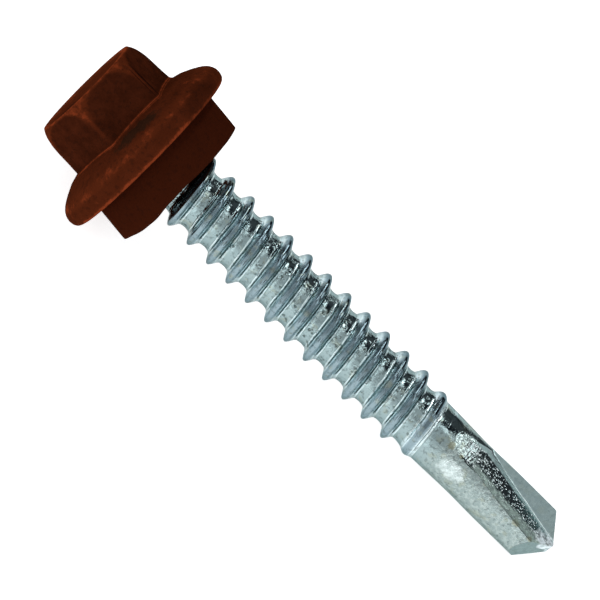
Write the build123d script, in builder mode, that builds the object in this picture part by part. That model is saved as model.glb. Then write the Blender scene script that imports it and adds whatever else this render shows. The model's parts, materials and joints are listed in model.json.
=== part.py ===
"""Hex washer head self drilling screw with a rubber sealing washer under its flange.

The screw lies as it comes to rest: on the flange's rolled rim and on the two outer corners
of the drill point's lower flute. +X runs from the head to the drill point, +Z is up, and
the origin is on the surface that it lies on, under the middle of the whole. Stations are
measured along the screw from the flange's underside, positive towards the drill point.
Turns are measured round the screw, from +Y towards the top; the driving dimensions give
those of the hexagon, the thread and the drill point from the direction of the lips.
"""

from build123d import *
from math import acos, asin, atan, atan2, cos, degrees, hypot, radians, sin, sqrt, tan
import os

# ---- driving dimensions, in millimetres and degrees -------------------------------------

# hexagon
across_flats = 7.94
hex_height = 3.47
hex_draft = 1.2
hex_corner_round = 0.2
hex_corner_turn = 48.4
hex_top_setback = 0.13
hex_trim_slope = 56.0
hex_foot_fillet = 0.2
hex_overlap = 0.6

# flange
flange_radius = 7.03
rim_height = 1.34
rim_round = 0.76
flange_slope = 31.0

# shank
length_under_flange = 37.2
neck_radius = 2.17
neck_length = 1.6
shank_radius = 2.17
plain_shank_length = 0.3
step_length = 0.4

# thread
thread_pitch = 25.4 / 14
thread_height = 0.67
root_radius = 1.98
foot_width = 0.86
thread_start = 1.21
thread_start_turn = -39.6
thread_growing_length = 1.0
thread_fading_length = 1.0
thread_faded_height = 0.36
thread_ending_length = 1.6

# drill point
point_radius = 2.12
point_angle = 100.0
lip_relief = 30.0
chisel_half_width = 0.35
lip_ahead_of_centre = 0.18
flute_length = 10.4
flute_start_turn = 31.0
flute_shoulder_length = 7.1
flute_shoulder_web = 1.53
flute_shoulder_turn = 49.0
flute_corner_web = 0.65
flute_corner_turn = 56.0
flute_bottom_round = 0.3
flute_overrun = 0.6

# sealing washer
seal_radius = 5.2
seal_thickness = 2.79
seal_thread_clearance = 0.05

# ---- radii and stations that follow -----------------------------------------------------

rim_centre_radius = flange_radius - rim_round
ridge_radius = rim_centre_radius + sqrt(rim_round**2 - (rim_height / 2) ** 2)
hex_corner_radius = across_flats / sqrt(3)
hex_top_flat_radius = across_flats / 2 - hex_top_setback
hex_trim_depth = (hex_corner_radius - hex_top_flat_radius) * tan(radians(hex_trim_slope))
flange_rise = (ridge_radius - hex_corner_radius) * tan(radians(flange_slope))
head_height = rim_height + flange_rise + hex_height

crest_radius = root_radius + thread_height
lip_slope = 1 / tan(radians(point_angle / 2))
relief_slope = tan(radians(lip_relief))
flank_slope = hypot(lip_slope, relief_slope)
lip_corner_reach = sqrt(point_radius**2 - lip_ahead_of_centre**2)
lip_corner_drop = lip_corner_reach * lip_slope - lip_ahead_of_centre * relief_slope
point_corner = length_under_flange + chisel_half_width * flank_slope - lip_corner_drop
flute_start = length_under_flange - flute_length
flute_shoulder = length_under_flange - flute_shoulder_length
thread_end = flute_start - plain_shank_length
thread_faded = thread_end - thread_ending_length
thread_full_from = thread_start + thread_growing_length
thread_full_to = thread_faded - thread_fading_length

# ---- how the screw lies -----------------------------------------------------------------

# a flute opens from the outer corner of its lip to its heel, and one of the two opens down
lip_corner_turn = 90 - degrees(asin(lip_ahead_of_centre / point_radius))
heel_turn = flute_corner_turn - degrees(acos(flute_corner_web / point_radius))
lip_turn = (lip_corner_turn + heel_turn) / 2
corner_drop = point_radius * cos(radians(lip_corner_turn - heel_turn) / 2)

# the rim's round and the drill point's corners touch the surface together
rim_to_corner = point_corner + rim_height / 2
corner_above_rim = rim_centre_radius - corner_drop
rim_corner_distance = hypot(rim_to_corner, corner_above_rim)
lean = asin(rim_round / rim_corner_distance) + atan2(corner_above_rim, rim_to_corner)

along = Vector(cos(lean), 0, -sin(lean))
upward = Vector(sin(lean), 0, cos(lean))
sideways = Vector(0, 1, 0)

back_end = head_height * cos(lean) + hex_top_flat_radius * sin(lean)
front_end = length_under_flange * cos(lean) + chisel_half_width * sin(lean)
seat_height = rim_round + rim_centre_radius * cos(lean) - rim_height / 2 * sin(lean)
seat = Vector((back_end - front_end) / 2, 0, seat_height)

screw_axis = Axis(seat, along)
lengthwise = Plane(origin=seat, x_dir=along, z_dir=-sideways)
point_end = seat + along * length_under_flange


def across(station, turn=0.0):
    """The plane square to the screw at a station, with its x axis turned from the side."""
    x_dir = sideways * cos(radians(turn)) + upward * sin(radians(turn))
    return Plane(origin=seat + along * station, x_dir=x_dir, z_dir=along)


# ---- the drill point's heel walls: each station's distance from the centre, and turn -----

heel_walls = [
    (flute_start, shank_radius, flute_start_turn),
    (flute_shoulder, flute_shoulder_web, flute_shoulder_turn),
    (point_corner, flute_corner_web, flute_corner_turn),
]
flute_stations = [
    flute_start - flute_overrun,
    flute_shoulder,
    point_corner,
    length_under_flange + flute_overrun,
]
flute_reach = 3 * max(shank_radius, point_radius)


def heel_wall(station):
    """The heel wall's distance from the centre and its turn, drawn on past both ends."""
    first = 0 if station < flute_shoulder else 1
    (start, start_web, start_turn), (end, end_web, end_turn) = heel_walls[first:first + 2]
    share = (station - start) / (end - start)
    return start_web + share * (end_web - start_web), start_turn + share * (end_turn - start_turn)


def heel_wall_x(web, turn, y):
    """Where a heel wall crosses a line parallel to its flute's rake wall."""
    return (web - y * cos(radians(turn))) / sin(radians(turn))


# ---- hexagon: drafted sides, its top corners trimmed round ------------------------------

with BuildPart() as hexagon:
    side_height = head_height - rim_height
    top_across_flats = across_flats - 2 * side_height * tan(radians(hex_draft))
    with BuildSketch(across(-head_height, lip_turn + hex_corner_turn)) as hexagon_top:
        RegularPolygon(top_across_flats / 2, 6, major_radius=False)
        fillet(hexagon_top.vertices(), hex_corner_round)
    extrude(amount=side_height, taper=-hex_draft)
    with BuildSketch(lengthwise):
        with BuildLine():
            Polyline(
                (-head_height, 0),
                (-head_height, hex_top_flat_radius),
                (-head_height + hex_trim_depth, hex_corner_radius),
                (-rim_height, hex_corner_radius + hex_corner_round),
                (-rim_height, 0),
                close=True,
            )
        make_face()
    revolve(axis=screw_axis, mode=Mode.INTERSECT)

# ---- thread: one helical ridge in four stretches, grown at the neck, faded at the drill --

faded_radius = root_radius + thread_faded_height
thread_stretches = [
    (thread_start, root_radius, thread_full_from, crest_radius),
    (thread_full_from, crest_radius, thread_full_to, crest_radius),
    (thread_full_to, crest_radius, thread_faded, faded_radius),
    (thread_faded, faded_radius, thread_end, root_radius),
]
ridges = []
for from_station, from_radius, to_station, to_radius in thread_stretches:
    start_turn = thread_start_turn + (from_station - thread_start) / thread_pitch * 360
    start_plane = across(from_station, lip_turn + start_turn)
    run = to_station - from_station
    growth = degrees(atan((to_radius - from_radius) / run))
    helix = start_plane * Helix(thread_pitch, run, from_radius - thread_height, cone_angle=growth)
    outward = helix @ 0 - start_plane.origin
    with BuildPart() as ridge:
        with BuildSketch(Plane(origin=helix @ 0, x_dir=outward, z_dir=helix % 0)):
            sunk = thread_height / 2
            sunk_width = foot_width * (1 + sunk / thread_height)
            with BuildLine():
                Polyline(
                    (-sunk, sunk_width / 2),
                    (thread_height, 0),
                    (-sunk, -sunk_width / 2),
                    close=True,
                )
            make_face()
        sweep(path=helix, is_frenet=True)
    ridges.append(ridge.part)

# ---- screw: the headed blank with its hexagon, thread and drill flutes -------------------

with BuildPart() as screw:
    with BuildSketch(lengthwise) as blank:
        inner_radius = across_flats / 2 - hex_overlap
        inner_station = -rim_height - (ridge_radius - inner_radius) * tan(radians(flange_slope))
        ridge_edge = (-rim_height, ridge_radius)
        underside_edge = (0, ridge_radius)
        with BuildLine():
            Polyline((inner_station, 0), (inner_station, inner_radius), ridge_edge)
            ThreePointArc(ridge_edge, (-rim_height / 2, flange_radius), underside_edge)
            Polyline(
                underside_edge,
                (0, neck_radius),
                (neck_length, neck_radius),
                (neck_length + step_length, root_radius),
                (thread_faded + step_length, root_radius),
                (thread_faded + 2 * step_length, shank_radius),
                (flute_start, shank_radius),
                (point_corner, point_radius),
                (length_under_flange, point_radius),
                (length_under_flange, 0),
                (inner_station, 0),
            )
        make_face()
    revolve(axis=screw_axis)
    add(hexagon.part)
    fillet(screw.edges(Select.NEW), hex_foot_fillet)
    for ridge_part in ridges:
        add(ridge_part)

    # each flute is a flat rake wall and a heel wall that closes in on the centre
    for side in (0, 180):
        for station in flute_stations:
            web, turn = heel_wall(station)
            with BuildSketch(across(station, lip_turn + side)) as flute:
                with BuildLine():
                    Polyline(
                        (heel_wall_x(web, turn, lip_ahead_of_centre), lip_ahead_of_centre),
                        (flute_reach, lip_ahead_of_centre),
                        (flute_reach, flute_reach),
                        (heel_wall_x(web, turn, flute_reach), flute_reach),
                        close=True,
                    )
                make_face()
                fillet(flute.vertices().sort_by_distance((0, 0))[0], flute_bottom_round)
        loft(ruled=True, mode=Mode.SUBTRACT)

    # the end is ground to two flanks, which fall away behind the lips from the chisel edge
    chisel_turn = lip_turn + degrees(atan2(lip_slope, relief_slope))
    chisel_edge_dir = across(length_under_flange, chisel_turn).x_dir
    flank_drop = flute_reach * flank_slope
    with BuildSketch(Plane(origin=point_end, x_dir=along, z_dir=chisel_edge_dir)):
        with BuildLine():
            Polyline(
                (0, chisel_half_width),
                (-flank_drop, chisel_half_width + flute_reach),
                (flute_reach, chisel_half_width + flute_reach),
                (flute_reach, -chisel_half_width - flute_reach),
                (-flank_drop, -chisel_half_width - flute_reach),
                (0, -chisel_half_width),
                close=True,
            )
        make_face()
    extrude(amount=flute_reach, both=True, mode=Mode.SUBTRACT)

# ---- sealing washer: a plain thick ring, pushed up the thread against the flange ---------

with BuildPart() as seal_washer:
    with BuildSketch(across(0)):
        Circle(seal_radius)
        Circle(crest_radius + seal_thread_clearance, mode=Mode.SUBTRACT)
    extrude(amount=seal_thickness)

# ---- the two pieces ---------------------------------------------------------------------

os.makedirs("parts", exist_ok=True)
screw.part.label = "screw"
export_step(screw.part, "parts/screw.step")
seal_washer.part.label = "seal_washer"
export_step(seal_washer.part, "parts/seal_washer.step")
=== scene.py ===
import json
from math import asin, atan2, copysign, cos, degrees, exp, floor, pi, radians, sin, sqrt, tan

import bmesh
import bpy
from mathutils import Matrix, Vector


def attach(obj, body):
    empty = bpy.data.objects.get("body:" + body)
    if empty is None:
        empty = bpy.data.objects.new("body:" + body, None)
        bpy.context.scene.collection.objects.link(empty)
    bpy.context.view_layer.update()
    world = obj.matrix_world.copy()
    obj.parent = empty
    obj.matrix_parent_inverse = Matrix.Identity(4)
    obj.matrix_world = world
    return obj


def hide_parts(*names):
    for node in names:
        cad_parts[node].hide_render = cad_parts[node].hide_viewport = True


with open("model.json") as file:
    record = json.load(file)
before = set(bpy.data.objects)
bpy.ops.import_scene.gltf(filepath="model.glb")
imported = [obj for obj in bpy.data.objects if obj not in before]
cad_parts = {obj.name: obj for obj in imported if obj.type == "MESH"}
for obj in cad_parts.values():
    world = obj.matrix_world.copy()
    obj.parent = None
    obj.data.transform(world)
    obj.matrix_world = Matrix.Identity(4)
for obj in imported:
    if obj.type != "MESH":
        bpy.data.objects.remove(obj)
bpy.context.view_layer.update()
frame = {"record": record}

# Sizes are in millimetres and degrees, in the screw's own frame: x runs along its axis from
# the flange's underside to the drill point, y is the way of the upper cutting lip and z is
# square to both. Turns go round the axis from y towards z.

MM = 0.001

# ---- driving dimensions -----------------------------------------------------------------

# hexagon
HEAD_HEIGHT = 6.0385
ACROSS_FLATS = 7.88
HEX_TOP_BULGE = 0.13
HEX_DRAFT = 1.0
HEX_CORNER_ROUND = 0.4
HEX_CORNER_TURN = 48.4
HEX_TOP_RADIUS = 3.86
HEX_TRIM_SPREAD = 0.6
HEX_TRIM_FALL = 0.62
HEX_TRIM_SOFTNESS = 0.05
HEX_TOP_DISH = 0.1
HEX_BULGE_DEPTH = 0.5
HEX_FOOT_FILLET = 0.18
HEX_FOOT_TILT = 1.0

# flange: the dome's stations and radii from the foot of the hexagon, then the rolled rim's
FLANGE_TILT = 0.55
HEAD_OFF_AXIS = 0.083
DOME_PROFILE = [(-2.56, 4.1), (-2.5, 4.46), (-2.28, 5.25), (-1.94, 5.95), (-1.72, 6.32), (-1.52, 6.6)]
RIM_PROFILE = [
    (-1.35, 6.76), (-1.11, 6.91), (-0.92, 6.975), (-0.73, 7.0), (-0.57, 6.995), (-0.42, 6.965),
    (-0.3, 6.92), (-0.2, 6.86), (-0.11, 6.77), (-0.05, 6.66), (-0.01, 6.52), (0.0, 6.4), (0.0, 5.6),
]
FLANGE_PROFILE = DOME_PROFILE + RIM_PROFILE
UNDERSIDE_RADIUS = 3.5

# shank and thread
SHANK_RADIUS = 2.16
NECK_LENGTH = 0.5
NECK_FILLET = 0.3
ROOT_RADIUS = 1.97
THREAD_PITCH = 25.4 / 14
THREAD_HEIGHT = 0.65
THREAD_START = 1.21
THREAD_START_TURN = -39.6
THREAD_FULL_FROM = 3.4
THREAD_FULL_TO = 23.9
THREAD_FADED = 25.1
THREAD_FADED_SHARE = 0.55
THREAD_END = 26.5
RIDGE_HALF_WIDTH = 0.48
RIDGE_FOOT_SOFTNESS = 0.12
RIDGE_CREST_ROUND = 0.2
ROOT_SAG = 0.045
CREST_FOLD_DEPTH = 0.01
CREST_FOLD_WIDTH = 0.045

# drill point
LENGTH = 37.28
POINT_RADIUS = 2.1
POINT_ANGLE = 100.0
LIP_RELIEF = 30.0
CHISEL_HALF_WIDTH = 0.23
LIP_AHEAD = 0.18
LIP_TURN = 34.49
POINT_BEND = 0.07
WAIST_STATION = 29.6
WAIST_LENGTH = 1.8
WAIST_DEPTH = 0.06
FLUTE_BOTTOM_SOFTNESS = 0.16
FLUTE_EDGE_SOFTNESS = 0.03
FLUTE_START_SOFTNESS = 0.12

# the flutes' heel walls: station, distance from the axis and turn of the wall
HEEL_WALLS = [
    (27.2, 2.2, 28.0),
    (28.2, 1.94, 30.0),
    (29.2, 1.75, 36.0),
    (30.15, 1.53, 47.0),
    (35.9, 0.65, 56.0),
]

# sealing washer
SEAL_RADIUS = 5.21
SEAL_THICKNESS = 2.78
SEAL_BORE = 2.7
SEAL_BORE_DEPTH = 1.4
SEAL_EDGE_ROUND = 0.07
SEAL_SHEAR = 0.135

# how far the washer's free edge stands out of true, at turns round it in degrees
SEAL_WAVES = [
    (-20, 0.0), (15, -0.05), (40, 0.0), (60, 0.03), (75, 0.0), (90, -0.04), (105, 0.02), (124, 0.2),
    (136, 0.18), (162, 0.0), (200, -0.04), (250, -0.08), (300, 0.05), (340, 0.0), (375, -0.05),
]

# meshes
MERGE_DISTANCE = 0.0005
SHARP_ANGLE = 35.0

# ---- the screw's own frame --------------------------------------------------------------

mounts = {mount["name"]: mount for mount in frame["record"]["mounts"]}
along = Vector(mounts["seal_face"]["axis"])
sideways = Vector((0, 1, 0))
upward = along.cross(sideways)
seat = Vector(mounts["hex_drive"]["pos_m"]) + along * HEAD_HEIGHT * MM
lip_way = sideways * cos(radians(LIP_TURN)) + upward * sin(radians(LIP_TURN))
lip_front = along.cross(lip_way)


def columns(x_way, y_way, z_way, place):
    """The matrix that carries x, y and z to three directions at a place."""
    return Matrix.Translation(place) @ Matrix((x_way, y_way, z_way)).transposed().to_4x4()


screw_to_object = columns(along, lip_way, lip_front, seat) @ Matrix.Scale(MM, 4)


def polar(station, radius, turn):
    """A point of the screw's own frame, its turn in radians."""
    return Vector((station, radius * cos(turn), radius * sin(turn)))


def smooth_step(value, start, end):
    """Rises smoothly from 0 at the start to 1 at the end."""
    share = min(1.0, max(0.0, (value - start) / (end - start)))
    return share * share * (3 - 2 * share)


# ---- rings ------------------------------------------------------------------------------

def rim_of(bm, ring):
    """The edges of a closed ring of vertices."""
    return [bm.edges.get(pair) for pair in zip(ring, ring[1:] + ring[:1])]


def grow(bm, ring, places):
    """Extrudes a closed ring of vertices and moves the new ring to its places."""
    made = set(bmesh.ops.extrude_edge_only(bm, edges=rim_of(bm, ring))["geom"])
    grown = [next(e.other_vert(v) for e in v.link_edges if e.other_vert(v) in made) for v in ring]
    for vert, place in zip(grown, places):
        vert.co = place
    return grown


def first_ring(bm, places):
    """A closed ring of edges through the places."""
    ring = bmesh.ops.create_circle(bm, segments=len(places), radius=1)["verts"]
    for vert, place in zip(ring, places):
        vert.co = place
    return ring


def mark(layer, verts, values):
    """Writes an attribute's values on vertices."""
    for vert, value in zip(verts, values):
        vert[layer] = value


def finished(bm, name, materials, node):
    """Makes the object of a finished mesh, which stands for a node of the frame."""
    bmesh.ops.remove_doubles(bm, verts=bm.verts, dist=MERGE_DISTANCE)
    bmesh.ops.recalc_face_normals(bm, faces=bm.faces)
    bmesh.ops.transform(bm, matrix=screw_to_object, verts=bm.verts)
    mesh = bpy.data.meshes.new(name)
    bm.to_mesh(mesh)
    bm.free()
    mesh.shade_smooth()
    mesh.set_sharp_from_angle(angle=radians(SHARP_ANGLE))
    piece = bpy.data.objects.new(name, mesh)
    bpy.context.scene.collection.objects.link(piece)
    for material in materials:
        mesh.materials.append(material)
    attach(piece, "root")
    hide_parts(node)


# ---- head: hexagon and flange -----------------------------------------------------------

CORNERS = 6
CORNER_STEPS = 6
FLAT_STEPS = 14
FLAT_TURN = 2 * pi / CORNERS
TOP_SHARES = (0.25, 0.5, 0.75, 0.88, 0.95, 0.985)
SIDE_DEPTHS = (0.0, 0.05, 0.12, 0.2, 0.3, 0.42, 0.56, 0.74, 0.96, 1.25, 1.6, 2.1, 2.6)
DOME_STEPS = 12

# how pale the paint is: painted highlights as two lines in the rows of the hexagon's foot, and worn paint at
# the least elsewhere
FOOT_HIGHLIGHT = [0.0, 0.5, 1.1, 0.3, 0.9, 0.3]
TOP_WEAR = 0.3
FLANGE_WEAR = 0.28


def hex_turns():
    """Turns round the head, close together at the six corners, and how near a corner each is."""
    middle_of_flat = ACROSS_FLATS / 2
    tangent = atan2((middle_of_flat - HEX_CORNER_ROUND) * tan(FLAT_TURN / 2), middle_of_flat)
    half_corner = FLAT_TURN / 2 - tangent
    turns = []
    for corner in range(CORNERS):
        middle = radians(HEX_CORNER_TURN) + corner * FLAT_TURN
        for step in range(CORNER_STEPS):
            turns.append(middle + half_corner * (2 * step / CORNER_STEPS - 1))
        for step in range(FLAT_STEPS):
            turns.append(middle + half_corner + 2 * tangent * step / FLAT_STEPS)
    return turns


def from_corner(turn):
    """The turn from the nearest corner of the hexagon."""
    return (turn - radians(HEX_CORNER_TURN) + FLAT_TURN / 2) % FLAT_TURN - FLAT_TURN / 2


def hex_radius(turn, half_across):
    """How far the rounded hexagon reaches at a turn."""
    away = from_corner(turn)
    flat = half_across / cos(FLAT_TURN / 2 - abs(away))
    centre = (half_across - HEX_CORNER_ROUND) / cos(FLAT_TURN / 2)
    across = centre * sin(away)
    if abs(across) >= HEX_CORNER_ROUND:
        return flat
    return min(flat, centre * cos(away) + sqrt(HEX_CORNER_ROUND**2 - across**2))


def dome_station(radius):
    """Where the flange's dome lies at a radius."""
    for (start, inner), (end, outer) in zip(FLANGE_PROFILE, FLANGE_PROFILE[1:]):
        if radius <= outer:
            return start + (end - start) * (radius - inner) / (outer - inner)


def side_radius(turn, station):
    """The hexagon's drafted side at a turn and a station."""
    rise = FLANGE_PROFILE[0][0] - station
    return hex_radius(turn, ACROSS_FLATS / 2 - rise * tan(radians(HEX_DRAFT)))


def soft_larger(a, b, softness):
    """The larger of two values, rounded where they cross."""
    return (a + b + sqrt((a - b)**2 + softness**2)) / 2


def soft_smaller(a, b, softness):
    """The smaller of two values, rounded where they cross."""
    return (a + b - sqrt((a - b)**2 + softness**2)) / 2


def foot_tilt(turn):
    """How far the hexagon's foot is from square to the axis at a turn."""
    return sin(radians(HEX_FOOT_TILT)) * ACROSS_FLATS / 2 * cos(turn)


def hex_level(turn, depth):
    """The hexagon's radius at a depth under its top, its corners trimmed round, and its wear."""
    side = side_radius(turn, depth - HEAD_HEIGHT)
    trimmed = HEX_TOP_RADIUS + HEX_TRIM_SPREAD * (1 - exp(-depth / HEX_TRIM_FALL))
    wear_and_highlight = 0.65 * smooth_step(side - trimmed, -0.06, 0.1)
    return soft_smaller(side, trimmed, HEX_TRIM_SOFTNESS), wear_and_highlight


def hexagon_rows(turn):
    """The hexagon's top and side at a turn: stations, radii and wear."""
    top = -HEAD_HEIGHT - HEX_TOP_BULGE
    edge = hex_level(turn, 0)[0]
    rows = []
    for share in TOP_SHARES:
        dish = HEX_TOP_DISH * (1 - smooth_step(share, 0.72, 0.95))
        rows.append((top + dish, edge * share, TOP_WEAR + 0.5 * smooth_step(share, 0.7, 0.95)))
    for depth in SIDE_DEPTHS:
        radius, wear_and_highlight = hex_level(turn, depth)
        lift = HEX_TOP_BULGE * max(0.0, 1 - depth / HEX_BULGE_DEPTH)
        rows.append((depth - HEAD_HEIGHT - lift, radius, max(wear_and_highlight, 0.9 - 6 * depth)))
    return rows


def foot_rows(turn):
    """The fillet round the hexagon's foot at a turn: stations, radii and paleness, which paints two
    highlight lines.
    """
    foot_radius = side_radius(turn, FLANGE_PROFILE[0][0])
    rows = []
    for step, wear_and_highlight in enumerate(FOOT_HIGHLIGHT):
        share = step / (len(FOOT_HIGHLIGHT) - 1)
        out = share**2
        radius = foot_radius + out * HEX_FOOT_FILLET
        level = dome_station(radius) - foot_tilt(turn) * (1 - out)
        rows.append((level - (1 - share)**2 * HEX_FOOT_FILLET, radius, wear_and_highlight))
    return rows


def flange_rows(start):
    """The flange from a radius at the foot to its underside, and on to the neck."""
    rim_station, rim_radius = RIM_PROFILE[0]
    rows = []
    for step in range(1, DOME_STEPS):
        radius = start + (rim_radius - start) * step / DOME_STEPS
        # the dome grows paler towards the ridge's painted highlight
        wear_and_highlight = FLANGE_WEAR + 0.3 * smooth_step(step, 8, DOME_STEPS)
        rows.append((dome_station(radius), radius, wear_and_highlight))
    for station, radius in RIM_PROFILE:
        # a painted highlight along the ridge where the dome meets the rim, and another along the rim's lower
        # edge
        ridge_highlight = 0.3 * exp(-((station - rim_station + 0.05) / 0.14)**2)
        underside_highlight = 0.75 * exp(-((station + 0.1) / 0.14)**2)
        rows.append((station, radius, FLANGE_WEAR + ridge_highlight + underside_highlight))
    rows.append((0.0, UNDERSIDE_RADIUS, 0.0))
    for station, out in ((0.0, NECK_FILLET), (0.1, 0.3 * NECK_FILLET), (0.28, 0.0)):
        rows.append((station, SHANK_RADIUS + out, 0.0))
    return rows


def head_profile(turn):
    """One meridian of the head, from its top's middle to the neck: stations, radii, and the paint's paleness
    for worn places and painted highlights.
    """
    foot = foot_rows(turn)
    return hexagon_rows(turn) + foot + flange_rows(foot[-1][1])


def head_place(turn, station, radius):
    """Puts the head a little off the shank's axis and out of square, as it was forged."""
    off = HEAD_OFF_AXIS
    if station > -1:
        off *= smooth_step(radius, SHANK_RADIUS + NECK_FILLET, UNDERSIDE_RADIUS)
    inner_share = smooth_step(radius, SHANK_RADIUS, UNDERSIDE_RADIUS)
    tilted = sin(radians(FLANGE_TILT)) * smooth_step(station, -5, -2.7) * inner_share
    return polar(station - tilted * radius * cos(turn), radius, turn) - Vector((0, off, 0))


def build_head(bm, worn_and_highlit_layer):
    """The painted head, closed at its top and open at the neck. Gives back its last ring."""
    turns = hex_turns()
    rows = list(zip(*[head_profile(turn) for turn in turns]))
    ring = []
    for row in rows:
        places = [head_place(turn, station, radius) for turn, (station, radius, wear_and_highlight) in zip(turns, row)]
        if ring:
            ring = grow(bm, ring, places)
        else:
            ring = first_ring(bm, places)
            bm.faces.new(ring)
        mark(worn_and_highlit_layer, ring, [wear_and_highlight for station, radius, wear_and_highlight in row])
    return ring


# ---- shank: the rolled thread -----------------------------------------------------------

TURN_STEPS = 96
PITCH_STEPS = 13
PITCHES_BEFORE = 2
PITCHES_AFTER = 3
THREAD_TRIM = THREAD_END + 0.25
TRIM_REACH = 0.1
CUT_DISTANCE = 0.0002


def ridge_height(off_crest):
    """The thread's height at a distance from its crest line, rounded at its crest and feet."""
    away = sqrt(off_crest**2 + RIDGE_CREST_ROUND**2) - RIDGE_CREST_ROUND
    foot_away = sqrt(RIDGE_HALF_WIDTH**2 + RIDGE_CREST_ROUND**2) - RIDGE_CREST_ROUND
    line = THREAD_HEIGHT * (1 - away / foot_away)
    fold = CREST_FOLD_DEPTH * exp(-(off_crest / CREST_FOLD_WIDTH)**2)
    sag = ROOT_SAG * smooth_step(abs(off_crest), RIDGE_HALF_WIDTH - 0.06, THREAD_PITCH / 2)
    return (line + sqrt(line**2 + RIDGE_FOOT_SOFTNESS**2)) / 2 - fold + ROOT_SAG - sag


def thread_share(station):
    """How much of the thread's height stands at a station of its crest line."""
    start = smooth_step(station, THREAD_START - 0.4, THREAD_FULL_FROM)
    fade = (1 - THREAD_FADED_SHARE) * smooth_step(station, THREAD_FULL_TO, THREAD_FADED)
    end = THREAD_FADED_SHARE * smooth_step(station, THREAD_FADED - 0.1, THREAD_END + 0.3)
    return start * (1 - fade - end)


def core_radius(station):
    """The blank under the thread: it is rolled thinner than the neck and the drill end."""
    swell = smooth_step(station, THREAD_END - 2.4, THREAD_END - 0.6)
    neck = 1 - smooth_step(station, THREAD_START, THREAD_FULL_FROM)
    return ROOT_RADIUS + (SHANK_RADIUS - ROOT_RADIUS) * max(swell, neck)


def lead_of(place):
    """The distance along the screw from a place to the nearest crest line."""
    turn = atan2(place.z, place.y) - radians(THREAD_START_TURN)
    pitches = (place.x - THREAD_START) / THREAD_PITCH - turn / (2 * pi)
    return (pitches - floor(pitches + 0.5)) * THREAD_PITCH


def thread_strip(bm):
    """One pitch's line spun through a turn of the helix, and that turn repeated past both ends."""
    first = THREAD_START - PITCHES_BEFORE * THREAD_PITCH
    copies = int((THREAD_END - first) / THREAD_PITCH) + PITCHES_AFTER
    line = []
    for step in range(-PITCH_STEPS, PITCH_STEPS + 1):
        off_crest = copysign(abs(step / PITCH_STEPS)**1.5, step) * THREAD_PITCH / 2
        line.append(bm.verts.new((first + off_crest, 1, 0)))
    line_edges = [bm.edges.new(pair) for pair in zip(line, line[1:])]
    start_turn = Matrix.Rotation(radians(THREAD_START_TURN), 3, "X")
    bmesh.ops.rotate(bm, verts=line, cent=(0, 0, 0), matrix=start_turn)
    bmesh.ops.spin(
        bm, geom=line + line_edges, cent=(0, 0, 0), axis=(1, 0, 0), dvec=(THREAD_PITCH / TURN_STEPS, 0, 0),
        angle=2 * pi, steps=TURN_STEPS, use_merge=False,
    )
    turn = list(bm.verts) + list(bm.edges) + list(bm.faces)
    for pitches in range(1, copies + 1):
        copied = bmesh.ops.duplicate(bm, geom=turn)["geom"]
        copied_verts = [part for part in copied if isinstance(part, bmesh.types.BMVert)]
        bmesh.ops.translate(bm, verts=copied_verts, vec=(pitches * THREAD_PITCH, 0, 0))


def trim(bm, station, outward):
    """Cuts a mesh square to the axis at a station and drops what lies past it."""
    geometry = list(bm.verts) + list(bm.edges) + list(bm.faces)
    bmesh.ops.bisect_plane(
        bm, geom=geometry, dist=CUT_DISTANCE, plane_co=(station, 0, 0), plane_no=(outward, 0, 0),
        clear_outer=True,
    )


def build_thread():
    """The threaded core as a mesh of its own, trimmed square at both ends."""
    bm = bmesh.new()
    thread_strip(bm)
    bmesh.ops.remove_doubles(bm, verts=bm.verts, dist=MERGE_DISTANCE)
    for vert in bm.verts:
        off = lead_of(vert.co)
        station = vert.co.x
        height = thread_share(station - off) * ridge_height(off)
        vert.co = polar(station, core_radius(station) + height, atan2(vert.co.z, vert.co.y))
    trim(bm, NECK_LENGTH, -1)
    trim(bm, THREAD_TRIM, 1)
    return bm


# ---- drill point ------------------------------------------------------------------------

LAND_STEPS = 18
RAKE_STEPS = 10
HEEL_STEPS = 18
HALF_STEPS = LAND_STEPS + RAKE_STEPS + HEEL_STEPS
BOTTOM_STEPS = 4
DRILL_RINGS = 72
LEAST_HALF_OPEN = 12.0
FLANK_ATTEMPTS = 8
DRILL_START = THREAD_END + 0.5
FLANK_SHARES = (0.97, 0.85, 0.7, 0.55, 0.4, 0.28, 0.18, 0.1)
LIP_SLOPE = 1 / tan(radians(POINT_ANGLE / 2))
RELIEF_SLOPE = tan(radians(LIP_RELIEF))


def heel_wall(station):
    """The heel wall's distance from the axis and its turn, held before its start, drawn on past its end."""
    passed = sum(wall[0] <= station for wall in HEEL_WALLS[:-1])
    first = max(0, passed - 1)
    (start, start_web, start_turn), (end, end_web, end_turn) = HEEL_WALLS[first:first + 2]
    share = max(0.0, (station - start) / (end - start))
    turn = start_turn + share * (end_turn - start_turn)
    return start_web + share * (end_web - start_web), radians(turn)


def land_radius(station):
    """The drill's outer radius: waisted behind the flutes' shoulder."""
    waist = WAIST_DEPTH * exp(-((station - WAIST_STATION) / WAIST_LENGTH)**2)
    share = (station - DRILL_START) / (LENGTH - DRILL_START)
    return SHANK_RADIUS + (POINT_RADIUS - SHANK_RADIUS) * share - waist


def flute_softness(station):
    """How rounded the flutes' edges are: more at their start, where the die ran out."""
    start_share = 1 - smooth_step(station, 29, 34)
    softness = FLUTE_EDGE_SOFTNESS + (FLUTE_START_SOFTNESS - FLUTE_EDGE_SOFTNESS) * start_share
    return 0.003 + softness * smooth_step(station, DRILL_START, 29)


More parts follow.
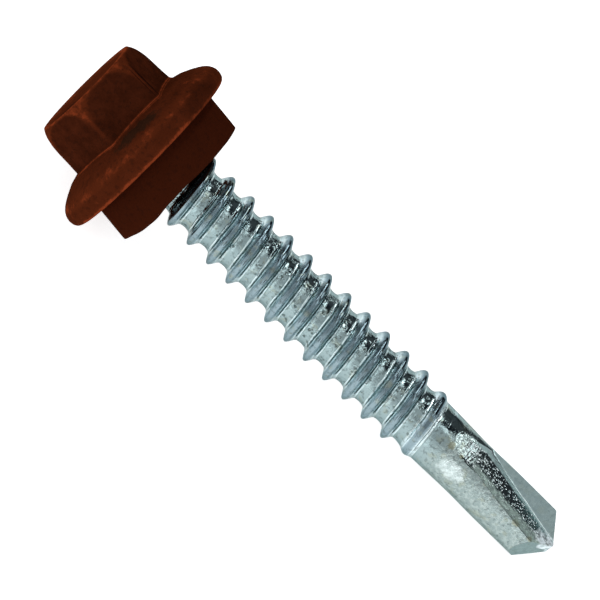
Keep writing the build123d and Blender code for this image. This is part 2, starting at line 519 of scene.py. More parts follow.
def flute_point(station, index):
    """One point of the drill's outline at a station: land, rake wall or heel wall."""
    web, wall_turn = heel_wall(station)
    outer = land_radius(station)
    middle = pi / 2 - wall_turn
    half_open = max(radians(LEAST_HALF_OPEN), pi / 2 - asin(min(1.0, web / outer)))
    start = max(asin(LIP_AHEAD / outer), middle - half_open)
    heel = middle + half_open
    bottom_y = (web - LIP_AHEAD * cos(wall_turn)) / sin(wall_turn)
    bottom = min(max(atan2(LIP_AHEAD, bottom_y), start + 0.08), heel - 0.1)
    if index < LAND_STEPS:
        return start - (start + pi - heel) * (1 - index / LAND_STEPS), outer
    if index < LAND_STEPS + RAKE_STEPS:
        share = 1 - (1 - (index - LAND_STEPS) / RAKE_STEPS)**1.6
        turn = start + (bottom - start) * share
    else:
        share = ((index - LAND_STEPS - RAKE_STEPS) / HEEL_STEPS)**1.4
        turn = bottom + (heel - bottom) * share
    rake = LIP_AHEAD / max(0.001, sin(turn))
    wall = web / max(0.05, sin(wall_turn + turn))
    flute = soft_larger(rake, wall, FLUTE_BOTTOM_SOFTNESS)
    return turn, soft_smaller(outer, flute, flute_softness(station))


def roof(point):
    """The station of the two ground flanks, which meet at the blunt chisel edge."""
    fall = LIP_SLOPE * point.y - RELIEF_SLOPE * point.z
    blunt = CHISEL_HALF_WIDTH * LIP_SLOPE
    return LENGTH + blunt - sqrt(fall**2 + blunt**2)


def flute_end(index):
    """The station where the outline's point meets the ground flanks."""
    end = LENGTH - 1
    for attempt in range(FLANK_ATTEMPTS):
        turn, radius = flute_point(end, index)
        end = roof(polar(end, radius, turn))
    return end


def both_halves(places):
    """The places and the same again half a turn round the axis."""
    half_turn = Matrix.Rotation(pi, 3, "X")
    return places + [half_turn @ place for place in places]


def drill_places(share, ends):
    """A ring of the drill: a share of the way from its start to the ground flanks."""
    places = []
    for index, end in enumerate(ends):
        station = DRILL_START + (end - DRILL_START) * share
        turn, radius = flute_point(station, index)
        places.append(polar(station, radius, turn))
    return both_halves(places)


def bent(place):
    """The point is bent a little towards its upper lip."""
    return place + Vector((0, POINT_BEND * smooth_step(place.x, DRILL_START, LENGTH), 0))


def build_drill(bm, heel_layer, ground_layer, bottom_layer):
    """The fluted point, open at its start. Gives back its first ring."""
    ends = [flute_end(index) for index in range(HALF_STEPS)]
    up_to_bottom = LAND_STEPS + RAKE_STEPS
    up_to_heel = up_to_bottom + BOTTOM_STEPS
    rake = [0.0] * LAND_STEPS + [1.0] * (up_to_heel - LAND_STEPS) + [0.0] * (HALF_STEPS - up_to_heel)
    heel = [0.0] * up_to_heel
    heel += [1 - 0.6 * (step / HEEL_STEPS)**3 for step in range(BOTTOM_STEPS, HEEL_STEPS)]
    bottom = [0.0] * up_to_bottom + [1.0] + [0.5] * BOTTOM_STEPS + [0.25]
    bottom += [0.0] * (HALF_STEPS - len(bottom))
    start_ring = first_ring(bm, drill_places(0.0, ends))
    ring = start_ring
    for step in range(1, DRILL_RINGS + 1):
        ring = grow(bm, ring, drill_places(step / DRILL_RINGS, ends))
        opened = smooth_step(step / DRILL_RINGS, 0.06, 0.3)
        for layer, values in zip((heel_layer, ground_layer, bottom_layer), (heel, rake, bottom)):
            mark(layer, ring, [value * opened for value in values * 2])
    outline = [vert.co.copy() for vert in ring]
    for share in FLANK_SHARES:
        inner = [Vector((0, place.y * share, place.z * share)) for place in outline]
        for place in inner:
            place.x = roof(place)
        ring = grow(bm, ring, inner)
        mark(heel_layer, ring, [0.0] * len(ring))
        mark(ground_layer, ring, [0.7] * len(ring))
    bm.faces.new(ring)
    for vert in bm.verts:
        vert.co = bent(vert.co)
    return start_ring


def build_screw(paint, zinc):
    """The whole screw as one closed mesh, painted on the head and plated on the shank."""
    bm = build_thread()
    names = ("worn_and_highlit_edges", "heel_wall", "ground_face", "flute_bottom")
    worn_and_highlit_layer, *drill_layers = [bm.verts.layers.float.new(name) for name in names]
    neck_rim = [e for e in bm.edges if e.is_boundary and e.verts[0].co.x < NECK_LENGTH + TRIM_REACH]
    drill_rim = [e for e in bm.edges if e.is_boundary and e.verts[0].co.x > THREAD_TRIM - TRIM_REACH]
    start_ring = build_drill(bm, *drill_layers)
    bmesh.ops.bridge_loops(bm, edges=drill_rim + rim_of(bm, start_ring))
    for face in bm.faces:
        face.material_index = 1
    threaded = set(bm.faces)
    neck_ring = build_head(bm, worn_and_highlit_layer)
    painted = set(bm.faces) - threaded
    bridge = bmesh.ops.bridge_loops(bm, edges=neck_rim + rim_of(bm, neck_ring))["faces"]
    for face in painted:
        face.material_index = 0
    for face in bridge:
        face.material_index = 1
    finished(bm, "screw_body", [paint, zinc], "screw")


# ---- sealing washer ---------------------------------------------------------------------

SEAL_STEPS = 120


def seal_wave(turn):
    """How far the washer's free edge stands out at a turn in radians."""
    at = degrees(turn)
    for (start, low), (end, high) in zip(SEAL_WAVES, SEAL_WAVES[1:]):
        if start <= at <= end:
            return low + (high - low) * smooth_step(at, start, end)


def seal_section():
    """The washer's section, from its bore at the flange round to the bore again."""
    edge, face = SEAL_EDGE_ROUND, SEAL_THICKNESS
    flange_side = [(0.0, SEAL_BORE), (0.0, SEAL_RADIUS - edge)]
    flange_edge = [(0.3 * edge, SEAL_RADIUS - 0.3 * edge), (edge, SEAL_RADIUS)]
    outside = [(share * face, SEAL_RADIUS) for share in (0.2, 0.35, 0.5, 0.65, 0.8)]
    free_edge = [(face - edge, SEAL_RADIUS - 0.01), (face - 0.3 * edge, SEAL_RADIUS - 0.3 * edge)]
    free_side = [(face, SEAL_RADIUS - edge), (face, 4.2), (face, 3.2)]
    bore = [(face - 0.03, SEAL_BORE + 0.08), (face - 0.12, SEAL_BORE), (SEAL_BORE_DEPTH, SEAL_BORE)]
    return flange_side + flange_edge + outside + free_edge + free_side + bore


def build_seal(rubber):
    """A thick rubber ring, pushed a little to one side, its free edge uneven."""
    bm = bmesh.new()
    first = ring = []
    for station, radius in seal_section():
        depth = station / SEAL_THICKNESS
        places = []
        for step in range(SEAL_STEPS):
            turn = 2 * pi * step / SEAL_STEPS
            place = polar(station + depth**2 * seal_wave(turn), radius, turn)
            place.x -= sin(radians(FLANGE_TILT)) * (1 - depth) * place.y
            place.y += SEAL_SHEAR * (1 - 2 * depth) * (radius / SEAL_RADIUS)**3
            places.append(place)
        ring = grow(bm, ring, places) if ring else first_ring(bm, places)
        first = first or ring
    bmesh.ops.bridge_loops(bm, edges=rim_of(bm, ring) + rim_of(bm, first))
    finished(bm, "rubber_seal", [rubber], "seal_washer")


# ---- nodes ------------------------------------------------------------------------------

class Graph:
    """Adds nodes to a tree. A node's inputs are numbers, colours or other nodes' outputs."""

    def __init__(self, tree):
        self.tree = tree

    def feed(self, node, name, value):
        """Links a node's output to an input, or sets the input to a value."""
        if isinstance(value, bpy.types.NodeSocket):
            self.tree.links.new(value, node.inputs[name])
        else:
            node.inputs[name].default_value = value

    def add(self, kind, inputs, **settings):
        node = self.tree.nodes.new(kind)
        for name, value in settings.items():
            setattr(node, name, value)
        for name, value in inputs.items():
            self.feed(node, name, value)
        return node

    def maths(self, operation, a, b=0.0, c=0.0):
        return self.add("ShaderNodeMath", {0: a, 1: b, 2: c}, operation=operation).outputs[0]

    def times(self, first, *others):
        """The product of several values."""
        for other in others:
            first = self.maths("MULTIPLY", first, other)
        return first

    def largest(self, first, *others):
        for other in others:
            first = self.maths("MAXIMUM", first, other)
        return first

    def times_plus(self, a, b, c):
        return self.maths("MULTIPLY_ADD", a, b, c)

    def dot(self, a, b):
        return self.add("ShaderNodeVectorMath", {0: a, 1: b}, operation="DOT_PRODUCT").outputs["Value"]

    def vectors(self, operation, a, b):
        return self.add("ShaderNodeVectorMath", {0: a, 1: b}, operation=operation).outputs[0]

    def join(self, x, y, z):
        return self.add("ShaderNodeCombineXYZ", {0: x, 1: y, 2: z}).outputs[0]

    def noise(self, vector, scale, detail=2.0, rough=0.5):
        inputs = {"Vector": vector, "Scale": scale, "Detail": detail, "Roughness": rough}
        return self.add("ShaderNodeTexNoise", inputs).outputs["Fac"]

    def fade(self, value, low, high, to_low=0.0, to_high=1.0):
        """Goes smoothly from one result to another as a value goes from low to high."""
        inputs = {"Value": value, "From Min": low, "From Max": high, "To Min": to_low, "To Max": to_high}
        return self.add("ShaderNodeMapRange", inputs, interpolation_type="SMOOTHSTEP").outputs[0]

    def until(self, value, low, high):
        """1 up to a low value and 0 past a high one."""
        return self.fade(value, low, high, 1.0, 0.0)

    def mix(self, share, a, b):
        """Mixes two colours. They are the seventh and eighth of a mix node's inputs."""
        node = self.tree.nodes.new("ShaderNodeMix")
        node.data_type = "RGBA"
        for index, value in ((0, share), (6, a), (7, b)):
            self.feed(node, index, (*value, 1) if isinstance(value, tuple) else value)
        return node.outputs[2]

    def stain_and_light(self, colour, tone, share, *masks):
        """Mixes a tone into a colour, up to a share, where the masks say: a stain, painted light or painted
        shade.
        """
        return self.mix(self.times(*masks, share), colour, tone)

    def attribute(self, name):
        return self.add("ShaderNodeAttribute", {}, attribute_name=name).outputs["Fac"]

    def placed(self, tree, inputs):
        """A group's outputs, with its inputs given."""
        node = self.tree.nodes.new("ShaderNodeGroup")
        node.node_tree = tree
        for name, value in inputs.items():
            self.feed(node, name, value)
        return node.outputs


def new_group(name, inputs, outputs):
    """A shader node group with named sockets. Gives back its graph and its inner ends."""
    tree = bpy.data.node_groups.new(name, "ShaderNodeTree")
    for direction, sockets in (("INPUT", inputs), ("OUTPUT", outputs)):
        for socket, kind in sockets.items():
            tree.interface.new_socket(socket, in_out=direction, socket_type="NodeSocket" + kind)
    given = tree.nodes.new("NodeGroupInput").outputs
    wanted = tree.nodes.new("NodeGroupOutput").inputs
    return Graph(tree), given, wanted


def screw_space_group():
    """Object coordinates in the screw's own frame, in millimetres, and places on the thread."""
    outputs = {
        "Place": "Vector", "Station": "Float", "Side": "Float", "Off Crest": "Float", "Thread Way": "Vector",
    }
    g, given, wanted = new_group("screw_space", {"Vector": "Vector"}, outputs)
    local = g.vectors("SUBTRACT", given["Vector"], tuple(seat))
    x, y, z = (g.dot(local, tuple(way / MM)) for way in (along, lip_way, lip_front))
    turn = g.maths("ARCTAN2", z, y)
    start = g.maths("SUBTRACT", g.maths("DIVIDE", x, THREAD_PITCH), THREAD_START / THREAD_PITCH)
    turned = g.maths("DIVIDE", g.maths("SUBTRACT", turn, radians(THREAD_START_TURN)), 2 * pi)
    phase = g.maths("SUBTRACT", start, turned)
    off = g.times(g.maths("PINGPONG", phase, 0.5), THREAD_PITCH)
    angle = g.times(phase, 2 * pi)
    way = g.join(g.maths("COSINE", angle), g.maths("SINE", angle), g.times(y, 0.3))
    drift = g.join(g.times(x, 0.35), g.times(z, 0.3), 0.0)
    found = {
        "Place": g.join(x, y, z), "Station": x, "Side": y, "Off Crest": off,
        "Thread Way": g.vectors("ADD", way, drift),
    }
    for name, value in found.items():
        g.tree.links.new(value, wanted[name])
    return g.tree


def patch_group():
    """A ragged soft-edged spot round a centre."""
    inputs = {"Place": "Vector", "Centre": "Vector", "Size": "Vector", "Raggedness": "Float"}
    g, given, wanted = new_group("patch", inputs, {"Mask": "Float"})
    place = given["Place"]
    reach = g.vectors("DIVIDE", g.vectors("SUBTRACT", place, given["Centre"]), given["Size"])
    length = g.add("ShaderNodeVectorMath", {0: reach}, operation="LENGTH").outputs["Value"]
    ragged = g.times(g.maths("SUBTRACT", g.noise(place, 2.2, 4.0), 0.5), given["Raggedness"])
    g.tree.links.new(g.until(g.maths("ADD", length, ragged), 0.6, 1.1), wanted["Mask"])
    return g.tree


def grain_group():
    """Fine pits and specks: a height in millimetres and a mask of the deepest pits."""
    inputs = {"Place": "Vector", "Scale": "Float", "Depth": "Float"}
    g, given, wanted = new_group("grain", inputs, {"Height": "Float", "Pits": "Float"})
    fine = g.noise(given["Place"], given["Scale"], 3.0, 0.6)
    g.tree.links.new(g.times(fine, given["Depth"]), wanted["Height"])
    g.tree.links.new(g.until(fine, 0.36, 0.46), wanted["Pits"])
    return g.tree


def dents_group():
    """Separate round dents in a smooth surface: a height in millimetres and their mask."""
    inputs = {"Place": "Vector", "Scale": "Float", "Depth": "Float", "Reach": "Float"}
    g, given, wanted = new_group("dents", inputs, {"Height": "Float", "Mask": "Float"})
    cells = g.add("ShaderNodeTexVoronoi", {"Vector": given["Place"], "Scale": given["Scale"]})
    dent = g.until(g.maths("DIVIDE", cells.outputs["Distance"], given["Reach"]), 0.2, 1.0)
    g.tree.links.new(g.times(dent, g.times(given["Depth"], -1.0)), wanted["Height"])
    g.tree.links.new(dent, wanted["Mask"])
    return g.tree


screw_space = screw_space_group()
patch = patch_group()
grain = grain_group()
dents = dents_group()


def new_material(name):
    """A material and its graph, its Principled shader and the screw's coordinates."""
    material = bpy.data.materials.new(name)
    material.use_nodes = True
    g = Graph(material.node_tree)
    shader = material.node_tree.nodes["Principled BSDF"]
    coordinates = g.add("ShaderNodeTexCoord", {}).outputs["Object"]
    return material, g, shader, g.placed(screw_space, {"Vector": coordinates})


def dress(g, shader, colour, roughness, height):
    """Connects a surface's colour, roughness and height in millimetres to its shader."""
    bump = g.add("ShaderNodeBump", {"Height": height, "Distance": MM, "Strength": 1.0})
    g.feed(shader, "Base Color", colour)
    g.feed(shader, "Roughness", roughness)
    g.feed(shader, "Normal", bump.outputs["Normal"])


# ---- zinc plating on the shank ----------------------------------------------------------

# in millimetres: from one rolled line or comb mark to the next, and how far from the crest
# line a ridge's sides begin to be dull
ROLLED_LINE_PITCH = 0.19
COMB_PITCH = 0.21
DULL_SIDE = (0.05, 0.14)

ZINC_TINT = (0.42, 0.47, 0.47, 1)
SHADED_ZINC = (0.255, 0.35, 0.36)
CLEAR_ZINC = (0.315, 0.405, 0.415)
DRILL_GREY = (0.26, 0.325, 0.315)
DRILL_FROST = (0.46, 0.54, 0.52)
# the next four are painted light on the ridges: reflection, shade, reflection and highlight
RIDGE_REFLECTION_BLUE = (0.26, 0.36, 0.425)
CREST_SHADE = (0.1, 0.145, 0.165)
LOW_RIDGE_REFLECTION = (0.42, 0.54, 0.57)
FLANK_FOOT_HIGHLIGHT = (0.7, 0.83, 0.87)
# painted glint on the rolled lines
ROLLED_LINE_GLINT = (0.72, 0.84, 0.84)
OLIVE = (0.29, 0.32, 0.24)
PIT_SHADE = (0.09, 0.12, 0.12)
# painted shade in the root dents
ROOT_DENT_SHADE = (0.1, 0.13, 0.125)
RAKE_STEEL = (0.285, 0.39, 0.4)
# the next three are painted light on the heel walls: shade, glints and a paler lower part
HEEL_SHADE = (0.1, 0.13, 0.14)
SPECK_GLINT = (0.75, 0.84, 0.85)
LOWER_HEEL_LIGHT = (0.5, 0.63, 0.58)
# a painted reflection and a painted highlight at the flutes' bottom
FLUTE_STRIP_REFLECTION = (0.42, 0.56, 0.56)
FLUTE_LINE_HIGHLIGHT = (0.85, 0.92, 0.92)
RUST_SPOT = (0.22, 0.21, 0.1)
LAND_BLOOM = (0.68, 0.78, 0.78)
TIP_FROST = (0.86, 0.94, 0.97)

# spots on the drill point: centre and size, in the screw's own frame
RUST_SPOTS = (
    ((27.6, 0.3, 2.1), (0.25, 0.3, 0.6)),
    ((28.6, 0.25, 2.1), (0.2, 0.16, 0.6)),
    ((34.3, -0.3, 2.1), (0.35, 0.25, 0.7)),
    ((35.7, -0.4, 2.1), (0.25, 0.25, 0.7)),
)


class ZincZones:
    """Masks of the plated surfaces, and the patterns that both colour and height follow."""

    def __init__(self, g, space):
        place, station, off = space["Place"], space["Station"], space["Off Crest"]
        self.place, self.station, self.off = place, station, off
        self.threaded = g.until(station, 26.2, 26.8)
        self.drill = g.fade(station, 26.3, 28.2)
        self.rake = g.attribute("ground_face")
        self.heel = g.attribute("heel_wall")
        self.walled = g.fade(self.heel, 0.1, 0.35)
        self.flank = g.times(g.until(off, 0.32, 0.5), self.threaded)
        self.plain = g.maths("SUBTRACT", 1.0, g.largest(self.rake, self.walled, self.flank))

        # the feet of the ridges, here and there, with lines rolled along them, pale with a painted highlight
        uneven = g.fade(g.noise(place, 0.9, 2.0), 0.35, 0.6, 0.3, 1.0)
        self.foot = g.times(g.fade(off, 0.14, 0.3), g.until(off, 0.54, 0.7), uneven, self.threaded)
        wander = g.times(g.noise(place, 0.7, 1.0), 5.0)
        self.wave = g.maths("SINE", g.times_plus(off, 2 * pi / ROLLED_LINE_PITCH, wander))

        # dents in the roots, where these are bare, dark with painted shade
        self.root_dents = g.placed(dents, {"Place": place, "Scale": 3.2, "Depth": 0.05, "Reach": 0.5})
        smooth = g.times(self.plain, g.until(station, 25.0, 25.6), g.maths("SUBTRACT", 1.0, self.foot))
        self.bare = g.times(smooth, g.fade(g.noise(place, 1.2, 1.0), 0.42, 0.58))

        # bright specks on the heel walls, painted glints on small dents, and the paler lower part of these,
        # painted light
        reach = g.times_plus(g.noise(place, 2.4, 3.0, 0.7), 1.0, 0.02)
        self.specks = g.placed(dents, {"Place": place, "Scale": 5.6, "Depth": 0.04, "Reach": reach})
        ragged = g.times_plus(g.noise(place, 2.4, 3.0, 0.7), 0.4, self.heel)
        lower = g.times(g.until(ragged, 0.74, 0.94), g.fade(self.heel, 0.02, 0.1))
        self.lower_heel = g.times(lower, g.fade(station, 28.9, 30.4))

        # the flutes' bottom: a bright line of painted highlight, and a strip beside it of painted reflection
        self.flute_line = g.fade(g.attribute("flute_bottom"), 0.6, 0.9)
        self.flute_strip = g.fade(g.attribute("flute_bottom"), 0.1, 0.4)

        self.fine = g.placed(grain, {"Place": place, "Scale": 3.8, "Depth": 0.03})
        self.mottle = g.fade(g.noise(place, 3.6, 2.0), 0.36, 0.62, 0.5, 1.0)
        frost_patch = {"Centre": (36.4, 0.14, 0.5), "Size": (1.1, 0.6, 1.2), "Raggedness": 1.5}
        frost = g.placed(patch, {"Place": place} | frost_patch)["Mask"]
        self.frosted = g.times(frost, self.mottle)


def zinc_height(g, zones, thread_way):
    """Rolled lines, streaks, dents, specks and grain, as a height in millimetres."""
    ripple = g.times(zones.wave, 0.0115, zones.foot)
    streaks = g.times(g.noise(thread_way, 2.2, 2.0, 0.6), 0.05)
    streaks = g.times(streaks, g.times(zones.flank, g.fade(zones.off, 0.06, 0.14)))
    height = g.maths("ADD", ripple, streaks)
    height = g.times_plus(zones.root_dents["Height"], zones.bare, height)
    height = g.times_plus(zones.specks["Height"], zones.walled, height)

    scoop = g.times(g.until(zones.station, 29.0, 29.8), g.largest(zones.rake, zones.walled))
    wander = g.times(g.noise(zones.place, 1.4, 2.0), 9.0)
    combs = g.maths("SINE", g.times_plus(zones.station, 2 * pi / COMB_PITCH, wander))
    height = g.times_plus(g.times(combs, 0.003), scoop, height)

    rougher = g.times_plus(zones.drill, 2.0, g.times_plus(zones.threaded, 0.7, 0.2))
    grained = g.times(g.times_plus(zones.plain, 0.8, 0.2), rougher)
    return g.times_plus(zones.fine["Height"], grained, height)


def shank_colour(g, zones, side):
    """Plain zinc, with painted reflections on the ridges: painted shade on the crests and a painted
    highlight at their feet.
    """
    place, off, threaded = zones.place, zones.off, zones.threaded
    colour = g.mix(g.noise(place, 0.8, 3.0), SHADED_ZINC, CLEAR_ZINC)
    colour = g.stain_and_light(colour, DRILL_GREY, 0.8, zones.drill)
    frosting = g.fade(g.noise(place, 3.4, 3.0, 0.6), 0.42, 0.64)
    colour = g.stain_and_light(colour, DRILL_FROST, 0.5, frosting, zones.drill)

    # a painted reflection, blue-grey over each ridge
    ridge = g.times(g.until(off, 0.28, 0.42), threaded)
    colour = g.stain_and_light(colour, RIDGE_REFLECTION_BLUE, 0.75, ridge)
    # painted shade on the crests, less on the lower side, and a paler painted reflection over the ridges on
    # the lower side
    low = g.until(side, -1.3, 0.1)
    crest = g.times(g.until(off, 0.09, 0.24), threaded)
    colour = g.stain_and_light(colour, CREST_SHADE, g.times_plus(low, -0.2, 0.7), crest)
    colour = g.stain_and_light(colour, LOW_RIDGE_REFLECTION, 0.25, ridge, low)
    # a painted highlight at the foot of the ridges' sides
    flank_foot = g.times(g.fade(off, 0.2, 0.34), g.until(off, 0.46, 0.56))
    return g.stain_and_light(colour, FLANK_FOOT_HIGHLIGHT, 0.75, flank_foot, threaded)


def zinc_colour(g, zones, side):
    """The shank's colour, with its stains, the marks of the flutes and the point, and painted shade and
    highlights in the dents and flutes.
    """
    place = zones.place
    colour = shank_colour(g, zones, side)
    colour = g.stain_and_light(colour, OLIVE, 0.45, g.fade(g.noise(place, 1.5, 3.0), 0.54, 0.68))
    colour = g.stain_and_light(colour, PIT_SHADE, 0.5, zones.fine["Pits"])

    colour = g.stain_and_light(colour, RAKE_STEEL, 0.6, zones.rake)
    # painted shade on the heel walls, painted glints on their dents, and painted light on their lower part
    colour = g.stain_and_light(colour, HEEL_SHADE, 0.6, zones.walled)
    colour = g.stain_and_light(colour, SPECK_GLINT, 1.0, zones.walled, g.fade(zones.specks["Mask"], 0.2, 0.6))
    blotches = g.fade(g.noise(place, 3.8, 3.0, 0.6), 0.36, 0.6, 0.35, 1.0)
    colour = g.stain_and_light(colour, LOWER_HEEL_LIGHT, 1.0, zones.lower_heel, blotches)

    # painted shade in the root dents
    colour = g.stain_and_light(colour, ROOT_DENT_SHADE, 0.8, g.fade(zones.root_dents["Mask"], 0.1, 0.7), zones.bare)
    # a painted highlight along the rolled lines
    colour = g.stain_and_light(colour, ROLLED_LINE_GLINT, 0.8, g.fade(zones.wave, 0.2, 0.9), zones.foot)
    # a painted reflection beside the flutes' bottom, and a painted highlight along it
    colour = g.stain_and_light(colour, FLUTE_STRIP_REFLECTION, 0.8, zones.flute_strip)
    colour = g.stain_and_light(colour, FLUTE_LINE_HIGHLIGHT, 0.8, zones.flute_line)

    for centre, size in RUST_SPOTS:
        spot = g.placed(patch, {"Place": place, "Centre": centre, "Size": size, "Raggedness": 1.6})
        colour = g.stain_and_light(colour, RUST_SPOT, 0.5, spot["Mask"])
    bloom_patch = {"Centre": (28.75, -0.92, 1.9), "Size": (1.15, 0.72, 1.1), "Raggedness": 1.4}
    bloom = g.placed(patch, {"Place": place} | bloom_patch)["Mask"]
    colour = g.stain_and_light(colour, LAND_BLOOM, 0.65, bloom, zones.mottle)
    return g.mix(zones.frosted, colour, TIP_FROST)


def zinc_roughness(g, zones):
    """Bright all over, and duller on the ridges' sides, in the flutes and at the tip."""
    sides = g.times(g.until(zones.off, 0.28, 0.4), g.fade(zones.off, *DULL_SIDE), zones.threaded)
    duller = g.largest(
        g.times(zones.frosted, 0.6),
        g.times(sides, 0.16),
        g.times(zones.flute_strip, 0.4),
        g.times(zones.lower_heel, 0.5),
        g.times(zones.rake, 0.08),
    )
    return g.maths("ADD", g.fade(g.noise(zones.place, 2.6, 3.0), 0.3, 0.7, 0.07, 0.16), duller)


def zinc_material():
    """Bright zinc: rolled lines, dented roots, grainy flutes, grey and olive stains, and painted
    reflections, highlights and shade.
    """
    material, g, shader, space = new_material("zinc_plating")
    shader.inputs["Metallic"].default_value = 1.0
    shader.inputs["Specular Tint"].default_value = ZINC_TINT
    zones = ZincZones(g, space)
    colour = zinc_colour(g, zones, space["Side"])
    dress(g, shader, colour, zinc_roughness(g, zones), zinc_height(g, zones, space["Thread Way"]))
    return material


# ---- paint on the head ------------------------------------------------------------------

DARK_PAINT = (0.029, 0.0064, 0.0026)
BROWN_PAINT = (0.052, 0.011, 0.0042)
# thin and worn paint, also the colours of the painted highlights
THIN_AND_HIGHLIT_PAINT = (0.097, 0.0185, 0.0058)
WORN_AND_HIGHLIT_PAINT = (0.27, 0.046, 0.014)
# painted shade in the paint's pits
PAINT_PIT_SHADE = (0.014, 0.005, 0.003)

# dark patches on the paint: centre, size, raggedness, share and colour. All but the second, on the dome
# beside the hexagon, are painted shade.
DARK_PATCHES = (
    ((-0.6, 4.9, 4.8), (1.1, 2.0, 3.0), 0.8, 0.5, (0.022, 0.0055, 0.0025)),
    ((-2.15, 0.4, 5.25), (0.6, 2.1, 0.8), 1.6, 0.8, (0.019, 0.009, 0.0048)),
    ((-6.12, -2.1, 1.3), (0.4, 1.5, 0.8), 1.5, 0.45, (0.012, 0.004, 0.0025)),
    ((-4.0, 3.02, 3.2), (1.7, 0.045, 1.5), 0.25, 0.85, (0.007, 0.002, 0.0015)),
    ((-4.0, 2.8, 3.2), (1.6, 0.04, 1.5), 0.25, 0.7, (0.007, 0.002, 0.0015)),
)


def paint_material():
    """Matte brown paint, thin and bright on worn edges, with painted highlights at the hexagon's foot and on
    the flange, and dark patches that are mostly painted shade.
    """
    material, g, shader, space = new_material("brown_paint")
    place = space["Place"]
    shader.inputs["Specular IOR Level"].default_value = 0.0
    wear_and_highlight = g.attribute("worn_and_highlit_edges")
    ragged = g.times(g.maths("SUBTRACT", g.noise(place, 1.3, 5.0, 0.65), 0.5), 1.9)
    mottle = g.noise(place, 0.9, 5.0, 0.65)
    colour = g.mix(g.fade(mottle, 0.3, 0.7), DARK_PAINT, BROWN_PAINT)
    # paler where the paint is worn and where highlights are painted, both from one attribute
    colour = g.mix(g.fade(wear_and_highlight, 0.0, 0.5, 0.0, 0.6), colour, THIN_AND_HIGHLIT_PAINT)
    colour = g.stain_and_light(colour, WORN_AND_HIGHLIT_PAINT, 0.6, g.fade(g.maths("ADD", wear_and_highlight, ragged), 0.5, 1.0))
    # dark patches, mostly painted shade
    for centre, size, raggedness, share, tone in DARK_PATCHES:
        inputs = {"Place": place, "Centre": centre, "Size": size, "Raggedness": raggedness}
        colour = g.stain_and_light(colour, tone, share, g.placed(patch, inputs)["Mask"])
    specks = g.placed(grain, {"Place": place, "Scale": 3.2, "Depth": 0.03})
    # painted shade in the deepest pits
    colour = g.stain_and_light(colour, PAINT_PIT_SHADE, 0.35, specks["Pits"])
    peel = g.times(g.noise(place, 1.4, 2.0), 0.06)
    roughness = g.fade(mottle, 0.3, 0.7, 0.42, 0.58)
    dress(g, shader, colour, roughness, g.maths("ADD", specks["Height"], peel))
    return material


# ---- rubber of the washer ---------------------------------------------------------------

DARK_RUBBER = (0.03, 0.0061, 0.0024)
PALE_RUBBER = (0.041, 0.0083, 0.0031)
# painted shade in the rubber's pits
RUBBER_PIT_SHADE = (0.012, 0.004, 0.003)


def rubber_material():
    """Matte brown rubber with a faint bloom."""
    material, g, shader, space = new_material("seal_rubber")
    place = space["Place"]
    shader.inputs["Specular IOR Level"].default_value = 0.0
    colour = g.mix(g.noise(place, 0.7, 4.0, 0.6), DARK_RUBBER, PALE_RUBBER)
    specks = g.placed(grain, {"Place": place, "Scale": 3.5, "Depth": 0.02})
    # painted shade in the deepest pits
    colour = g.stain_and_light(colour, RUBBER_PIT_SHADE, 0.3, specks["Pits"])
    roughness = g.fade(g.noise(place, 1.2, 2.0), 0.3, 0.7, 0.6, 0.75)
    dress(g, shader, colour, roughness, specks["Height"])
    return material


# ---- the two pieces ---------------------------------------------------------------------

build_screw(paint_material(), zinc_material())
build_seal(rubber_material())

# ---- camera -----------------------------------------------------------------------------

# the seat's place in a square picture, in pixels from its upper left corner
PIXELS_PER_MM = 15.14
IMAGE_SIZE = 600
SEAT_PIXEL = (152.2, 152.6)
CAMERA_TILT = 5.2
CAMERA_LENS = 1000.0
SENSOR = 36.0


def link(name, data):
    """Makes an object and puts it in the scene."""
    thing = bpy.data.objects.new(name, data)
    bpy.context.scene.collection.objects.link(thing)
    return thing


tilt = radians(CAMERA_TILT)
back = lip_front * cos(tilt) - along * sin(tilt)
picture_along = along * cos(tilt) + lip_front * sin(tilt)
picture_right = (picture_along + lip_way) * sqrt(0.5)
picture_up = (lip_way - picture_along) * sqrt(0.5)
off_right = (IMAGE_SIZE / 2 - SEAT_PIXEL[0]) / PIXELS_PER_MM * MM
off_up = (SEAT_PIXEL[1] - IMAGE_SIZE / 2) / PIXELS_PER_MM * MM
picture_centre = seat + picture_right * off_right + picture_up * off_up
distance = IMAGE_SIZE / PIXELS_PER_MM * MM * CAMERA_LENS / SENSOR

camera_data = bpy.data.cameras.new("camera")
camera_data.lens = CAMERA_LENS
camera_data.sensor_width = SENSOR
camera_data.clip_end = 100.0
camera = link("camera", camera_data)
camera.matrix_world = columns(picture_right, picture_up, back, picture_centre + back * distance)
bpy.context.scene.camera = camera

# ---- light ------------------------------------------------------------------------------

LIGHT_DISTANCE = 0.4
WORLD_COLOUR = (0.02, 0.026, 0.034, 1)

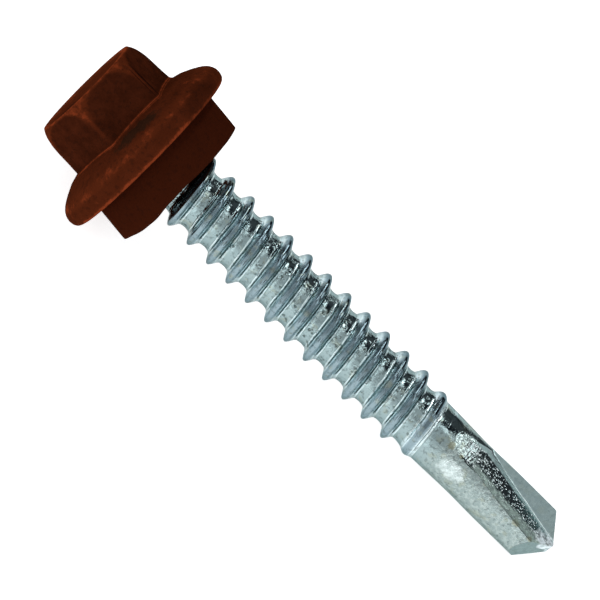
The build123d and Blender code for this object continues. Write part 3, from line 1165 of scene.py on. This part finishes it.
# soft lights: turn round the screw, lean towards its point, width, length and radiance
SOFTBOXES = {
    "front_light": (160, 0, 0.38, 0.5, 0.98),
    "low_light": (177, 0, 0.24, 0.5, 0.34),
    "dim_card": (33, 0, 0.3, 0.5, 0.07),
    "top_light": (112, 0, 0.3, 0.5, 0.72),
    "line_light": (84, 22, 0.07, 0.34, 2.1),
    "side_strip": (163, 26, 0.2, 0.16, 0.7),
    "tip_strip": (120, 27, 0.4, 0.04, 1.6),
    "head_strip": (55, -28, 0.5, 0.04, 8.0),
    "head_light": (135, -57, 0.45, 0.3, 1.2),
    "scoop_light": (58, 27, 0.13, 0.12, 4.6),
    "tip_light": (112, 62, 0.4, 0.3, 1.0),
}


def softbox(name, turn, lean, width, length, radiance):
    """A soft rectangular light that faces the screw."""
    way = sideways * cos(radians(turn)) + upward * sin(radians(turn))
    way = way * cos(radians(lean)) + along * sin(radians(lean))
    light = bpy.data.lights.new(name, "AREA")
    light.shape = "RECTANGLE"
    light.size = width
    light.size_y = length
    light.energy = radiance * pi * width * length
    lamp = link(name, light)
    across = along.cross(way).normalized()
    lamp.matrix_world = columns(across, way.cross(across), way, picture_centre + way * LIGHT_DISTANCE)
    lamp.visible_camera = False


world = bpy.data.worlds.new("studio")
world.use_nodes = True
world.node_tree.nodes["Background"].inputs["Color"].default_value = WORLD_COLOUR
bpy.context.scene.world = world
bpy.context.scene.view_settings.view_transform = "Standard"

for name, values in SOFTBOXES.items():
    softbox(name, *values)

# ---- floor ------------------------------------------------------------------------------

FLOOR_SIZE = 0.5
FLOOR_DROP = 0.00002
FLOOR_COLOUR = (0.8, 0.8, 0.8, 1)
FLOOR_GLOW = 0.72

bm = bmesh.new()
bmesh.ops.create_grid(bm, x_segments=1, y_segments=1, size=FLOOR_SIZE)
floor_mesh = bpy.data.meshes.new("floor")
bm.to_mesh(floor_mesh)
bm.free()
ground = link("floor", floor_mesh)
ground.location.z = -FLOOR_DROP
pale = bpy.data.materials.new("pale_floor")
pale.use_nodes = True
pale_shader = pale.node_tree.nodes["Principled BSDF"]
pale_shader.inputs["Base Color"].default_value = FLOOR_COLOUR
pale_shader.inputs["Roughness"].default_value = 0.9
pale_shader.inputs["Emission Color"].default_value = (1, 1, 1, 1)
pale_shader.inputs["Emission Strength"].default_value = FLOOR_GLOW
floor_mesh.materials.append(pale)
